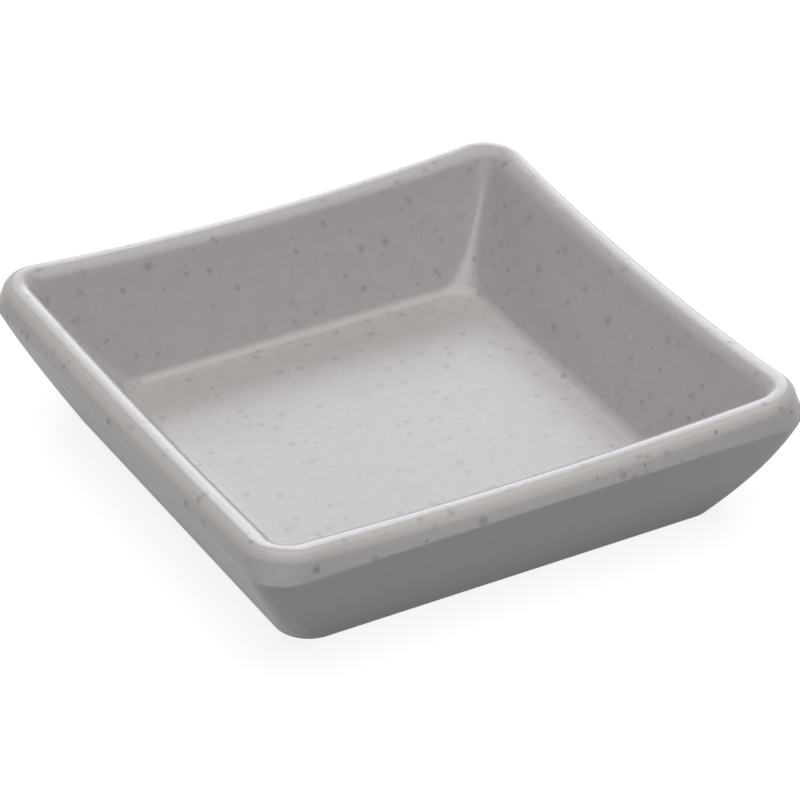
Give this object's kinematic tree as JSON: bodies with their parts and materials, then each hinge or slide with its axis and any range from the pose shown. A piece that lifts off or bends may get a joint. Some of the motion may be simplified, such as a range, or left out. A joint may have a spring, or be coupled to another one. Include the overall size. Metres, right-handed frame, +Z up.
{
  "type": "sauce dish",
  "caption": "Square sauce dish with sloping walls, a flat floor, a rolled rim whose corners stand higher than its sides, and a foot ring underneath.",
  "frame": {"origin": "middle of the base, on the table", "axes": "+Z up, X and Y square to the four sides"},
  "size_m": [0.09, 0.09, 0.0213],
  "materials": {
    "melamine": "satin, warm light grey with fine dark specks"
  },
  "bodies": {
    "root": {"dish": "melamine"}
  },
  "joints": []
}
